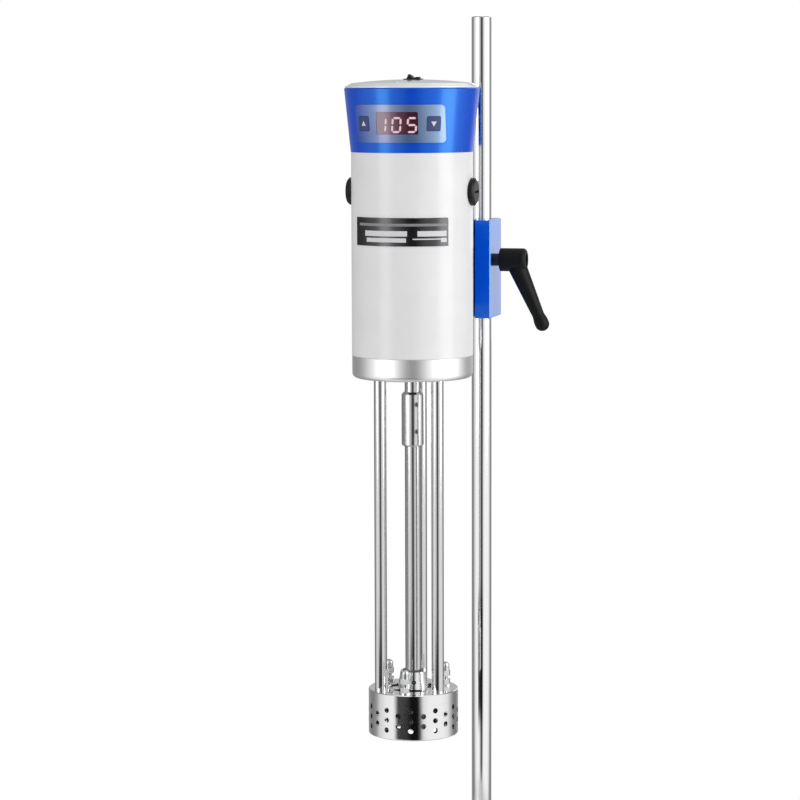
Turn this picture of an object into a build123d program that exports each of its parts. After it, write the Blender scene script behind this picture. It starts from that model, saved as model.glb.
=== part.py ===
"""Laboratory rotor-stator homogenizer on a lift stand.

Row frame, millimetres: +Z up, the front of the instrument faces -Y, and the origin is the
centre of the stand's base on the table. The motor unit is drawn around its own shaft axis
and is carried to its place by put_on_head().
"""

import os
from math import atan2, cos, degrees, hypot, radians, sin

from build123d import *

# ---------------------------------------------------------------- driving dimensions
# Stand
OVERALL_HEIGHT = 740.0
BASE_WIDTH, BASE_DEPTH, BASE_THICKNESS = 245.0, 300.0, 16.0
BASE_CORNER, BASE_EDGE = 22.0, 4.0
FOOT_HEIGHT, FOOT_RADIUS, FOOT_INSET = 8.0, 13.0, 26.0
COLUMN_RADIUS = 8.5
COLUMN_Y = 105.0
BOSS_RADIUS, BOSS_HEIGHT = 24.0, 14.0

# Shaft axis of the motor unit in the row frame, and the column as seen from that axis
SHAFT_X, SHAFT_Y = -23.5, -46.0
COLUMN_DX, COLUMN_DY = -SHAFT_X, COLUMN_Y - SHAFT_Y

# Levels of the motor unit, at the height where it is clamped
COVER_TOP = 687.5
HEAD_TOP, HEAD_BOTTOM = 681.0, 630.2
BELL_TOP, BELL_BOTTOM = 468.4, 450.2
COUPLING_TOP, COUPLING_BOTTOM = 438.3, 394.3
STATOR_TOP, STATOR_BOTTOM = 197.2, 160.2
BRUSH_Z = 598.7

# Motor unit
HEAD_TOP_RADIUS, HEAD_BOTTOM_RADIUS, HEAD_WALL = 54.0, 48.8, 2.5
HOUSING_RADIUS, HOUSING_WALL = 48.6, 4.0
BELL_RADIUS, BELL_EDGE = 48.4, 4.0
ROD_RADIUS, ROD_CIRCLE = 5.0, 27.2
SHAFT_RADIUS, COUPLING_RADIUS = 6.5, 9.0
STATOR_RADIUS, ROTOR_RADIUS = 36.3, 33.1
STATOR_WALL, FRAME_THICKNESS = 2.7, 8.3
HOLE_RADIUS, HOLE_COLUMNS, HOLE_PITCH, HOLE_Z = 2.2, 22, 8.1, 176.2
FIRST_HOLE_ANGLE = 10.1

# Clamp and arm
CLAMP_WIDTH, CLAMP_DEPTH, CLAMP_HEIGHT = 28.0, 44.0, 82.5
CLAMP_BOTTOM = 488.0
ARM_WIDTH, ARM_HEIGHT, ARM_BOTTOM = 24.0, 69.0, 495.0
LEVER_Z, LEVER_FROM_FRONT = 537.0, 11.0
LEVER_TILT, LEVER_REACH = 24.0, 58.6

# Control panel on the head
PANEL_Z, PANEL_WIDTH, PANEL_HEIGHT = 653.0, 72.2, 29.5
KEY_SIZE, KEY_ANGLE, KEY_GAP = 11.1, 33.0, 0.32
WINDOW_WIDTH, WINDOW_HEIGHT, WINDOW_Z = 33.6, 17.4, PANEL_Z + 0.4
DIGIT_HEIGHT, DIGIT_WIDTH, DIGIT_PITCH, BAR_WIDTH, DIGIT_SLANT = 10.8, 6.4, 12.1, 1.6, 5.0
DIGIT_Z = PANEL_Z - 1
PLATE_TOP, PLATE_BOTTOM, PLATE_HALF_ANGLE = 579.6, 557.4, 49.0

# Fits
SCREW_CLEARANCE = 0.05
RUNNING = 0.05
THIRDS = (0, 120, 240)


# ---------------------------------------------------------------- helpers
def block(x0, x1, y0, y1, z0, z1):
    """A box given by its two corners."""
    return Pos((x0 + x1) / 2, (y0 + y1) / 2, (z0 + z1) / 2) * Box(x1 - x0, y1 - y0, z1 - z0)


def bar_z(radius, z0, z1, x=0.0, y=0.0):
    """A round bar along Z."""
    return Pos(x, y, (z0 + z1) / 2) * Cylinder(radius, z1 - z0)


def bar_x(radius, x0, x1, y, z):
    """A round bar along X."""
    return Pos((x0 + x1) / 2, y, z) * Rot(0, 90, 0) * Cylinder(radius, x1 - x0)


def bar_y(radius, y0, y1, x, z):
    """A round bar along Y."""
    return Pos(x, (y0 + y1) / 2, z) * Rot(90, 0, 0) * Cylinder(radius, y1 - y0)


def tube_z(outer, inner, z0, z1):
    """A plain tube along Z."""
    return bar_z(outer, z0, z1) - bar_z(inner, z0 - 1, z1 + 1)


def cone_z(r0, r1, z0, z1):
    """A truncated cone along Z, of radius r0 at z0 and r1 at z1."""
    return Pos(0, 0, (z0 + z1) / 2) * Cone(r0, r1, z1 - z0)


def hexagon_z(across_flats, z0, z1, x=0.0, y=0.0):
    """A hexagonal prism along Z."""
    face = RegularPolygon(across_flats / 2, 6, major_radius=False)
    return Pos(x, y, z0) * extrude(face, z1 - z0)


def spun(points):
    """The solid of revolution about Z of an outline given as (radius, z) points."""
    return revolve(Plane.XZ * Polygon(*points, align=None), Axis.Z, 360)


def sector(outer, inner, z0, z1, start, end):
    """A piece of a ring between two angles, counted from +X towards +Y."""
    reach = outer * 2
    middle, half = radians((start + end) / 2), radians((end - start) / 2)
    corners = [(0, 0)]
    for share in (-1, -1 / 3, 1 / 3, 1):
        angle = middle + half * share
        corners.append((reach * cos(angle), reach * sin(angle)))
    wedge = Pos(0, 0, z0) * extrude(Polygon(*corners, align=None), z1 - z0)
    return tube_z(outer, inner, z0, z1) & wedge


def group(*shapes):
    """Separate solids that share one node."""
    return Compound([solid for shape in shapes for solid in shape.solids()])


def around(shape, angles):
    """Copies of a shape turned about Z, as separate solids in one node."""
    return group(*[Rot(0, 0, angle) * shape for angle in angles])


def fused(shapes):
    """One shape made of all the given ones."""
    whole = shapes[0]
    for shape in shapes[1:]:
        whole += shape
    return whole


def cut(shape, tools):
    """The shape less each tool."""
    for tool in tools:
        shape -= tool
    return shape


def end_edges(shape, which):
    """The edges that lie lowest (0) or highest (-1) on a shape."""
    return shape.edges().group_by(Axis.Z)[which]


def front(angle):
    """An angle counted from the instrument's front towards +X, as an angle from +X."""
    return angle - 90


def put_on_head(shape):
    """Carries a shape drawn around the shaft axis to its place in the row frame."""
    return group(*[Pos(SHAFT_X, SHAFT_Y, 0) * solid for solid in shape.solids()])


def socket_screw(radius, length, head_radius, head_height, socket):
    """A socket head screw along Z: its shank goes down from z = 0 and its head up."""
    head = bar_z(head_radius, 0, head_height)
    head = chamfer(end_edges(head, -1), head_radius * 0.08)
    head -= hexagon_z(socket, head_height * 0.45, head_height + 1)
    return head + bar_z(radius, -length, 0)


def grub_screw(radius, length, socket):
    """A grub screw along Z whose socketed end is at z = 0."""
    return bar_z(radius, -length, 0) - hexagon_z(socket, -length * 0.5, 1)


# ---------------------------------------------------------------- stand
PLATE_UNDERSIDE = FOOT_HEIGHT
BASE_TOP = PLATE_UNDERSIDE + BASE_THICKNESS
SEAT_BOTTOM = PLATE_UNDERSIDE + 12.0
COLUMN_BOLT_RADIUS = 4.0
FOOT_SCREW_RADIUS = 2.5
FOOT_X = BASE_WIDTH / 2 - FOOT_INSET
FOOT_Y = BASE_DEPTH / 2 - FOOT_INSET
FOOT_PLACES = [(x, y) for x in (-FOOT_X, FOOT_X) for y in (-FOOT_Y, FOOT_Y)]


def base_plate():
    """Cast plate with a boss that seats the column."""
    plate = extrude(RectangleRounded(BASE_WIDTH, BASE_DEPTH, BASE_CORNER), BASE_THICKNESS)
    plate = Pos(0, 0, PLATE_UNDERSIDE) * plate
    plate = fillet(end_edges(plate, -1), BASE_EDGE)
    boss = cone_z(BOSS_RADIUS, BOSS_RADIUS - 3, BASE_TOP - 1, BASE_TOP + BOSS_HEIGHT)
    boss = fillet(end_edges(boss, -1), 2.0)
    plate += Pos(0, COLUMN_Y, 0) * boss
    tools = [
        bar_z(COLUMN_RADIUS + 0.02, SEAT_BOTTOM, BASE_TOP + BOSS_HEIGHT + 1, 0, COLUMN_Y),
        bar_z(COLUMN_BOLT_RADIUS + 0.4, 0, SEAT_BOTTOM + 1, 0, COLUMN_Y),
        bar_z(11.0, 0, PLATE_UNDERSIDE + 8.5, 0, COLUMN_Y),
    ]
    tools += [bar_z(FOOT_SCREW_RADIUS + SCREW_CLEARANCE, 0, 17, x, y) for x, y in FOOT_PLACES]
    return cut(plate, tools)


def rubber_feet():
    """Four turned rubber feet, each with a recess for its screw."""
    foot = cone_z(FOOT_RADIUS - 1.5, FOOT_RADIUS, 0, FOOT_HEIGHT)
    foot = fillet(end_edges(foot, 0), 1.0)
    foot -= bar_z(5.5, -1, 4.5)
    foot -= bar_z(FOOT_SCREW_RADIUS + SCREW_CLEARANCE, 0, FOOT_HEIGHT + 1)
    return group(*[Pos(x, y, 0) * foot for x, y in FOOT_PLACES])


def foot_screws():
    """Pan head screws that hold the feet, seen from below."""
    head = bar_z(4.7, 1.5, 4.5) - hexagon_z(3.0, 0, 3.0)
    screw = head + bar_z(FOOT_SCREW_RADIUS, 4.5, 16)
    return group(*[Pos(x, y, 0) * screw for x, y in FOOT_PLACES])


def column():
    """Chromed column with a tapped hole in its lower end."""
    body = bar_z(COLUMN_RADIUS, SEAT_BOTTOM, OVERALL_HEIGHT)
    body = chamfer(end_edges(body, -1), 0.8)
    body -= bar_z(COLUMN_BOLT_RADIUS + SCREW_CLEARANCE, SEAT_BOTTOM - 1, SEAT_BOTTOM + 22)
    return Pos(0, COLUMN_Y, 0) * body


def column_bolt_and_washer():
    """Screw and washer that pull the column into its seat from below."""
    seat = PLATE_UNDERSIDE + 8.5
    washer = tube_z(10.0, COLUMN_BOLT_RADIUS + 0.3, seat - 1.6, seat)
    screw = socket_screw(COLUMN_BOLT_RADIUS, 24, 6.5, 6.5, 6.0)
    screw = Pos(0, 0, seat - 1.6) * Rot(180, 0, 0) * screw
    return Pos(0, COLUMN_Y, 0) * group(washer, screw)


# ---------------------------------------------------------------- clamp and arm, around the shaft axis
CLAMP_TOP = CLAMP_BOTTOM + CLAMP_HEIGHT
CLAMP_X0, CLAMP_X1 = COLUMN_DX - CLAMP_WIDTH / 2, COLUMN_DX + CLAMP_WIDTH / 2
CLAMP_Y1 = COLUMN_DY + CLAMP_WIDTH / 2
CLAMP_Y0 = CLAMP_Y1 - CLAMP_DEPTH
LEVER_Y = CLAMP_Y0 + LEVER_FROM_FRONT
LINER_INNER, LINER_OUTER, LINER_LIP = COLUMN_RADIUS + RUNNING, COLUMN_RADIUS + 1.45, 2.0
STUD_RADIUS, NECK_RADIUS, NECK_END = 4.0, 5.2, CLAMP_X1 + 6.3
ARM_TOP = ARM_BOTTOM + ARM_HEIGHT
ARM_X0, ARM_X1 = CLAMP_X0 - ARM_WIDTH, CLAMP_X0
ARM_SCREW_RADIUS, ARM_SCREW_INSET, ARM_SCREW_LENGTH = 2.5, 9.0, 18.0
ARM_SCREW_SEAT = 13.0
ARM_SCREW_Z = (ARM_BOTTOM + ARM_SCREW_INSET, ARM_TOP - ARM_SCREW_INSET)
SADDLE_HALF_WIDTH, SADDLE_BACK = 31.0, 62.0
SADDLE_SCREW_X = 22.0


def clamp_block():
    """Split block that grips the column when its slit is pulled together."""
    body = block(CLAMP_X0, CLAMP_X1, CLAMP_Y0, CLAMP_Y1, CLAMP_BOTTOM, CLAMP_TOP)
    body = chamfer(body.edges(), 0.8)
    slit = block(COLUMN_DX - 1, COLUMN_DX + 1, CLAMP_Y0 - 1, COLUMN_DY, CLAMP_BOTTOM - 1, CLAMP_TOP + 1)
    bore_radius = LINER_OUTER + RUNNING
    tools = [
        bar_z(bore_radius, CLAMP_BOTTOM + LINER_LIP, CLAMP_TOP - LINER_LIP, COLUMN_DX, COLUMN_DY),
        bar_z(COLUMN_RADIUS + 0.4, CLAMP_BOTTOM - 1, CLAMP_TOP + 1, COLUMN_DX, COLUMN_DY),
        slit,
        bar_x(STUD_RADIUS + 0.06, CLAMP_X0 + 2, CLAMP_X1 + 1, LEVER_Y, LEVER_Z),
    ]
    for z in ARM_SCREW_Z:
        tools.append(bar_x(ARM_SCREW_RADIUS + SCREW_CLEARANCE, CLAMP_X0 - 1, CLAMP_X0 + 10, LEVER_Y, z))
    return cut(body, tools)


def clamp_liner():
    """Split plastic liner that runs on the column inside the block."""
    z0, z1 = CLAMP_BOTTOM + LINER_LIP + 0.1, CLAMP_TOP - LINER_LIP - 0.1
    liner = tube_z(LINER_OUTER, LINER_INNER, z0, z1)
    liner -= block(-1, 1, -LINER_OUTER - 1, 0, z0 - 1, z1 + 1)
    return Pos(COLUMN_DX, COLUMN_DY, 0) * liner


def support_arm():
    """Bar from the clamp to a saddle that fits the motor housing."""
    saddle = block(-SADDLE_HALF_WIDTH, SADDLE_HALF_WIDTH, 30, SADDLE_BACK, ARM_BOTTOM, ARM_TOP)
    saddle = fillet(saddle.edges().filter_by(Axis.Z).group_by(Axis.Y)[-1], 8.0)
    bar = block(ARM_X0, ARM_X1, 50, CLAMP_Y1, ARM_BOTTOM, ARM_TOP)
    arm = saddle + bar
    tools = [bar_z(HOUSING_RADIUS + 0.03, ARM_BOTTOM - 1, ARM_TOP + 1)]
    for z in ARM_SCREW_Z:
        tools.append(bar_x(ARM_SCREW_RADIUS + SCREW_CLEARANCE, -40, 20, LEVER_Y, z))
        tools.append(bar_x(4.6, -40, ARM_X0 + ARM_SCREW_SEAT, LEVER_Y, z))
        for x in (-SADDLE_SCREW_X, SADDLE_SCREW_X):
            tools.append(bar_y(ARM_SCREW_RADIUS + SCREW_CLEARANCE, 30, 70, x, z))
            tools.append(bar_y(4.6, SADDLE_BACK - 3, 70, x, z))
    return cut(arm, tools)


def arm_screws():
    """Six like screws: two join the arm to the clamp block, four join its saddle to the housing."""
    screw = socket_screw(ARM_SCREW_RADIUS, ARM_SCREW_LENGTH, 4.3, 5.0, 4.0)
    screws = [Pos(ARM_X0 + ARM_SCREW_SEAT, LEVER_Y, z) * Rot(0, -90, 0) * screw for z in ARM_SCREW_Z]
    for z in ARM_SCREW_Z:
        for x in (-SADDLE_SCREW_X, SADDLE_SCREW_X):
            screws.append(Pos(x, SADDLE_BACK - 3, z) * Rot(-90, 0, 0) * screw)
    return group(*screws)


# ---------------------------------------------------------------- clamping lever
HUB_RADIUS, HUB_END = 9.7, NECK_END + 22.5
DRIVE_RADIUS, DRIVE_END = 6.0, NECK_END + 3.6
SHOULDER = NECK_END + 9.5
CHAMBER_RADIUS = 5.0
LEVER_SCREW_RADIUS = 2.0
LEVER_HEAD_AT = SHOULDER + 8.0


def drive_prism(radius, x0, x1):
    """Twelve-sided prism along X, by which the stud and the handle turn together."""
    face = RegularPolygon(radius, 12)
    return Pos(x0, 0, 0) * Rot(0, 90, 0) * extrude(face, x1 - x0)


def lever_stud():
    """Steel insert: clamping thread, neck and drive in one piece."""
    stud = bar_x(STUD_RADIUS, CLAMP_X0 + 3, CLAMP_X1 + 1, 0, 0)
    stud += bar_x(NECK_RADIUS, CLAMP_X1 + 0.3, NECK_END + 0.5, 0, 0)
    stud += drive_prism(DRIVE_RADIUS, NECK_END, DRIVE_END)
    stud -= bar_x(LEVER_SCREW_RADIUS + SCREW_CLEARANCE, NECK_END - 6, DRIVE_END + 1, 0, 0)
    return Pos(0, LEVER_Y, LEVER_Z) * stud


def lever_handle():
    """Moulded handle: a hub along X and a tapered arm that leans outwards."""
    hub = bar_x(HUB_RADIUS, NECK_END + 0.1, HUB_END, 0, 0)
    hub = fillet(hub.edges().group_by(Axis.X)[-1], 3.0)
    hub = fillet(hub.edges().group_by(Axis.X)[0], 0.8)
    tip, waist = 6.0, LEVER_REACH - 9
    profile = Plane.XZ * make_face([
        Line((0, 0), (8.3, 0)),
        Line((8.3, 0), (5.1, -waist)),
        Spline((5.1, -waist), (5.9, -waist - 5.5), (tip, -LEVER_REACH), tangents=[(-0.06, -1), (0, -1)]),
        RadiusArc((tip, -LEVER_REACH), (0, -LEVER_REACH - tip), tip),
        Line((0, -LEVER_REACH - tip), (0, 0)),
    ])
    arm = revolve(profile, Axis.Z, 360)
    handle = hub + Pos(NECK_END + 12, 0, 0) * Rot(0, -LEVER_TILT, 0) * arm
    tools = [
        drive_prism(DRIVE_RADIUS + 0.2, NECK_END - 1, DRIVE_END + 0.3),
        bar_x(LEVER_SCREW_RADIUS + 0.3, NECK_END, HUB_END + 1, 0, 0),
        bar_x(CHAMBER_RADIUS, SHOULDER, HUB_END + 1, 0, 0),
    ]
    return Pos(0, LEVER_Y, LEVER_Z) * cut(handle, tools)


def lever_screw():
    """Screw that keeps the handle on its insert."""
    head = bar_x(4.6, LEVER_HEAD_AT, LEVER_HEAD_AT + 3, 0, 0)
    head -= Pos(LEVER_HEAD_AT + 1.2, 0, 0) * Rot(0, 90, 0) * extrude(RegularPolygon(1.6, 6), 3)
    shank = bar_x(LEVER_SCREW_RADIUS, NECK_END - 5.5, LEVER_HEAD_AT + 0.5, 0, 0)
    return Pos(0, LEVER_Y, LEVER_Z) * (head + shank)


def lever_spring():
    """Spring that pushes the handle back on to its drive, as four closed coils."""
    turns, wire = 4, 0.55
    step = (LEVER_HEAD_AT - SHOULDER - 2 * wire - 0.1) / (turns - 1)
    coils = [Pos(SHOULDER + wire + 0.05 + step * i, LEVER_Y, LEVER_Z) * Rot(0, 90, 0) * Torus(3.6, wire)
             for i in range(turns)]
    return group(*coils)


# ---------------------------------------------------------------- motor housing and its ends
HOUSING_INNER = HOUSING_RADIUS - HOUSING_WALL
CAP_RADIUS, CAP_SEAT, CAP_FACE = 11.0, HOUSING_RADIUS - 2.4, HOUSING_RADIUS + 4.0
LUG_CIRCLE, LUG_BOTTOM, LUG_TOP = 39.5, 474.5, 486.0
BELL_FLOOR = 464.0
BELL_SCREW_RADIUS = 2.5
BEARING_SEAT = 14.0
SEAL_RADIUS = 11.0


def motor_housing():
    """Painted tube with two brush openings, three lugs and the saddle's screw holes."""
    body = tube_z(HOUSING_RADIUS, HOUSING_INNER, BELL_TOP, HEAD_BOTTOM)
    lug = block(LUG_CIRCLE - 4.5, HOUSING_INNER + 1, -5, 5, LUG_BOTTOM, LUG_TOP)
    for angle in THIRDS:
        body += Rot(0, 0, front(angle)) * lug
    tools = [bar_x(CAP_RADIUS + 0.03, -60, 60, 0, BRUSH_Z)]
    for angle in THIRDS:
        hole = bar_z(BELL_SCREW_RADIUS + SCREW_CLEARANCE, LUG_BOTTOM - 1, LUG_TOP + 1, LUG_CIRCLE)
        tools.append(Rot(0, 0, front(angle)) * hole)
    for z in ARM_SCREW_Z:
        for x in (-SADDLE_SCREW_X, SADDLE_SCREW_X):
            tools.append(bar_y(ARM_SCREW_RADIUS + SCREW_CLEARANCE, 30, 60, x, z))
    return cut(body, tools)


def end_bell():
    """Turned lower end: bearing seat, seal seat and the rods' sockets."""
    bell = bar_z(BELL_RADIUS, BELL_BOTTOM, BELL_TOP)
    bell = fillet(end_edges(bell, 0), BELL_EDGE)
    bell = chamfer(end_edges(bell, -1), 0.4)
    bell += bar_z(HOUSING_INNER - 0.05, BELL_TOP - 1, BELL_TOP + 6)
    hollow = bar_z(42.0, BELL_FLOOR, BELL_TOP + 10) - bar_z(19.0, BELL_FLOOR - 1, BELL_TOP + 2)
    tools = [
        hollow,
        bar_z(BEARING_SEAT + 0.01, BELL_BOTTOM + 9, BELL_TOP + 10),
        bar_z(SEAL_RADIUS + 0.01, BELL_BOTTOM - 1, BELL_BOTTOM + 6),
        bar_z(8.0, BELL_BOTTOM, BELL_TOP),
    ]
    for angle in THIRDS:
        turn = Rot(0, 0, front(angle + 60))
        tools.append(turn * bar_z(ROD_RADIUS + 0.02, BELL_BOTTOM - 1, BELL_BOTTOM + 9, ROD_CIRCLE))
        tools.append(turn * bar_z(4.1, BELL_BOTTOM, BELL_TOP, ROD_CIRCLE))
        turn = Rot(0, 0, front(angle))
        tools.append(turn * bar_z(BELL_SCREW_RADIUS + 0.2, BELL_BOTTOM - 1, BELL_TOP + 10, LUG_CIRCLE))
        tools.append(turn * bar_z(4.8, BELL_BOTTOM - 1, BELL_BOTTOM + 5.5, LUG_CIRCLE))
    return cut(bell, tools)


def bell_screws():
    """Three screws from below into the housing's lugs."""
    screw = Rot(180, 0, 0) * socket_screw(BELL_SCREW_RADIUS, 28, 4.3, 5.0, 4.0)
    place = Pos(LUG_CIRCLE, 0, BELL_BOTTOM + 5.5)
    return around(place * screw, [front(angle) for angle in THIRDS])


def shaft_seal():
    """Lip seal under the lower bearing."""
    return tube_z(SEAL_RADIUS - 0.02, 6.5 + RUNNING, BELL_BOTTOM + 0.6, BELL_BOTTOM + 5.8)


def bearing_bridge():
    """Upper bearing bracket: rim, three spokes and a boss."""
    z0 = BRUSH_Z + 11.5
    rim = tube_z(HOUSING_INNER - 0.05, 38.0, z0, z0 + 5)
    boss = bar_z(15.0, z0, z0 + 11)
    spokes = [Rot(0, 0, front(angle)) * block(10, 40, -6, 6, z0, z0 + 5) for angle in THIRDS]
    return fused([rim, boss, *spokes]) - bar_z(11.01, z0 + 2.5, z0 + 20) - bar_z(8.0, z0 - 1, z0 + 20)


# ---------------------------------------------------------------- head shell, cover and controls
def head_radius(z):
    """Outer radius of the head's cone at a level."""
    share = (z - HEAD_BOTTOM) / (HEAD_TOP - HEAD_BOTTOM)
    return HEAD_BOTTOM_RADIUS + share * (HEAD_TOP_RADIUS - HEAD_BOTTOM_RADIUS)


def head_cone(offset, z0=HEAD_BOTTOM, z1=HEAD_TOP):
    """Solid cone parallel to the head's outside, so far outside or inside it."""
    return cone_z(head_radius(z0) + offset, head_radius(z1) + offset, z0, z1)


def head_skin(inner, outer):
    """Layer of the head between two offsets from its outside."""
    return head_cone(outer) - head_cone(inner, HEAD_BOTTOM - 10, HEAD_TOP + 10)


def facing_front(width, height, corner, x=0.0, z=PANEL_Z):
    """Rounded bar through the front of the head, for windows and panels."""
    face = Plane.XZ * Pos(x, z) * RectangleRounded(width, height, corner)
    return extrude(face, 70)


def facing_key(size, corner, side):
    """Rounded square bar through the head where a key sits; side is -1 or 1."""
    face = Plane.XZ * Pos(0, PANEL_Z) * RectangleRounded(size, size, corner)
    return Rot(0, 0, side * KEY_ANGLE) * extrude(face, 70)


INLET_Z, INLET_FACE = 655.0, 54.5
INLET_BODY, INLET_FLOOR = (26.6, 19.4), 39.2
COVER_SCREW_CIRCLE = 41.0
BOARD_RADIUS, BOARD_Z = 38.0, HEAD_BOTTOM + 3.0
MODULE_SEAT = -35.2
MODULE_BOSSES = [(x, z) for x in (-22.0, 22.0) for z in (-9.8, 9.8)]


def head_shell():
    """Moulded conical head with a seat for the panel and a flat for the power inlet."""
    shell = head_cone(0.0)
    shell = chamfer(end_edges(shell, -1), 0.9)
    shell += block(-19, 19, 30, INLET_FACE, INLET_Z - 15, INLET_Z + 15)
    shell -= head_cone(-HEAD_WALL, HEAD_BOTTOM + 3, HEAD_TOP + 10)
    shell += tube_z(HOUSING_INNER - 0.05, HOUSING_INNER - 3, HEAD_BOTTOM - 6, HEAD_BOTTOM + 1)
    for angle in THIRDS:
        post = block(COVER_SCREW_CIRCLE - 3, 60, -3.5, 3.5, HEAD_TOP - 16, HEAD_TOP - 3.2) & head_cone(-1)
        post -= bar_z(1.55, HEAD_TOP - 14, HEAD_TOP, COVER_SCREW_CIRCLE)
        shell += Rot(0, 0, front(angle)) * post
    for x, z in MODULE_BOSSES:
        shell += bar_y(1.8, -60, MODULE_SEAT, x, PANEL_Z + z) & head_cone(-1)
    tools = [
        bar_z(BOARD_RADIUS - 4, HEAD_BOTTOM - 10, HEAD_BOTTOM + 5),
        facing_front(PANEL_WIDTH + 0.1, PANEL_HEIGHT + 0.1, 3.0) & head_skin(-0.6, 3),
        facing_front(WINDOW_WIDTH - 2, WINDOW_HEIGHT - 2, 1.0, z=WINDOW_Z),
        facing_key(KEY_SIZE + 2 * KEY_GAP, 1.0 + KEY_GAP, -1),
        facing_key(KEY_SIZE + 2 * KEY_GAP, 1.0 + KEY_GAP, 1),
        block(-INLET_BODY[0] / 2, INLET_BODY[0] / 2, 30, 60,
              INLET_Z - INLET_BODY[1] / 2, INLET_Z + INLET_BODY[1] / 2),
    ]
    return cut(shell, tools)


SWITCH_X, SWITCH_Y = 2.4, -5.0
SWITCH_LENGTH, SWITCH_WIDTH, SWITCH_TOP = 13.6, 10.6, COVER_TOP + 0.5
SWITCH_BODY, SWITCH_BODY_WIDTH, BEZEL = 12.4, 9.0, 2.0
ROCKER_PIVOT, ROCKER_ANGLE = SWITCH_TOP - 1.6, 14.0
ROCKER_HALF, TRUNNION_RADIUS, TRUNNION_END = 3.5, 0.9, 4.1


def switch_block(length, width, z0, z1):
    """A box centred where the power switch sits."""
    return Pos(SWITCH_X, SWITCH_Y, (z0 + z1) / 2) * Box(length, width, z1 - z0)


def top_cover():
    """Domed lid with a bevelled rim, a spigot, and a seat for the power switch."""
    rim, bevel = HEAD_TOP_RADIUS - 0.9, HEAD_TOP_RADIUS - 6.0
    shoulder = COVER_TOP - 3.0
    sag = COVER_TOP - shoulder
    dome_radius = (bevel**2 + sag**2) / (2 * sag)
    outline = Plane.XZ * make_face([
        Line((0, HEAD_TOP), (rim, HEAD_TOP)),
        Line((rim, HEAD_TOP), (rim, HEAD_TOP + 0.8)),
        Line((rim, HEAD_TOP + 0.8), (bevel, shoulder)),
        RadiusArc((bevel, shoulder), (0, COVER_TOP), -dome_radius),
        Line((0, COVER_TOP), (0, HEAD_TOP)),
    ])
    cover = revolve(outline, Axis.Z, 360)
    cover -= bar_z(44.0, HEAD_TOP - 1, HEAD_TOP + 1.2)
    cover += tube_z(head_radius(HEAD_TOP - 3) - HEAD_WALL - 0.1, 44.0, HEAD_TOP - 3, HEAD_TOP + 0.5)
    tools = [
        switch_block(SWITCH_LENGTH + 0.2, SWITCH_WIDTH + 0.2, SWITCH_TOP - BEZEL, COVER_TOP + 1),
        switch_block(SWITCH_BODY + 0.2, SWITCH_BODY_WIDTH + 0.2, HEAD_TOP - 1, COVER_TOP + 1),
    ]
    for angle in THIRDS:
        turn = Rot(0, 0, front(angle))
        tools.append(turn * bar_z(1.7, HEAD_TOP - 5, COVER_TOP, COVER_SCREW_CIRCLE))
        tools.append(turn * bar_z(3.1, COVER_SCREW_SEAT, COVER_TOP + 1, COVER_SCREW_CIRCLE))
        tools.append(turn * block(COVER_SCREW_CIRCLE - 4, 50, -4, 4, HEAD_TOP - 4, HEAD_TOP - 0.0))
    return cut(cover, tools)


COVER_SCREW_SEAT = HEAD_TOP + 2.6


def cover_screws():
    """Three small screws that hold the lid."""
    head = bar_z(2.9, COVER_SCREW_SEAT, COVER_SCREW_SEAT + 1.5) - hexagon_z(2.0, COVER_SCREW_SEAT + 0.7, 700)
    screw = head + bar_z(1.5, HEAD_TOP - 13, COVER_SCREW_SEAT)
    return around(Pos(COVER_SCREW_CIRCLE, 0, 0) * screw, [front(angle) for angle in THIRDS])


def control_panel():
    """Curved fascia with openings for the display and the two keys."""
    panel = facing_front(PANEL_WIDTH, PANEL_HEIGHT, 3.0) & head_skin(-0.6, 0.6)
    tools = [facing_front(WINDOW_WIDTH + 0.1, WINDOW_HEIGHT + 0.1, 1.2, z=WINDOW_Z)]
    tools += [facing_key(KEY_SIZE + 2 * KEY_GAP, 1.0 + KEY_GAP, side) for side in (-1, 1)]
    return cut(panel, tools)


def display_window():
    """Dark window over the figures."""
    return facing_front(WINDOW_WIDTH, WINDOW_HEIGHT, 1.2, z=WINDOW_Z) & head_skin(-0.6, 0.25)


# Which of the seven bars light up for each figure: top, upper right, lower right, bottom,
# lower left, upper left, middle
LIT_BARS = {"1": "0110000", "0": "1111110", "5": "1011011"}
SHOWN_FIGURES = "105"


def figure_bars(figure, x):
    """Outlines of one figure's lit bars, each a long hexagon."""
    half_width, half_height = DIGIT_WIDTH / 2, DIGIT_HEIGHT / 4
    places = [(0, 2, 0), (1, 1, 1), (1, -1, 1), (0, -2, 0), (-1, -1, 1), (-1, 1, 1), (0, 0, 0)]
    bars = []
    for lit, (side, level, upright) in zip(LIT_BARS[figure], places):
        if lit == "0":
            continue
        cx, cz = side * half_width, level * half_height
        reach = (half_height if upright else half_width) - 0.35
        w = BAR_WIDTH / 2
        hexagon = [(-reach, 0), (-reach + w, w), (reach - w, w), (reach, 0), (reach - w, -w), (-reach + w, -w)]
        if upright:
            hexagon = [(b, a) for a, b in hexagon]
        lean = sin(radians(DIGIT_SLANT))
        points = [(x + cx + a + (cz + b) * lean, DIGIT_Z + cz + b) for a, b in hexagon]
        bars.append(points)
    return bars


def display_figures():
    """Lit bars of the figures, on the window."""
    skin = head_skin(0.25, 0.4)
    shapes = []
    for place, figure in enumerate(SHOWN_FIGURES):
        for points in figure_bars(figure, (place - 1) * DIGIT_PITCH):
            shapes.append(extrude(Plane.XZ * Polygon(*points, align=None), 70, dir=(0, -1, 0)) & skin)
    return group(*shapes)


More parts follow.
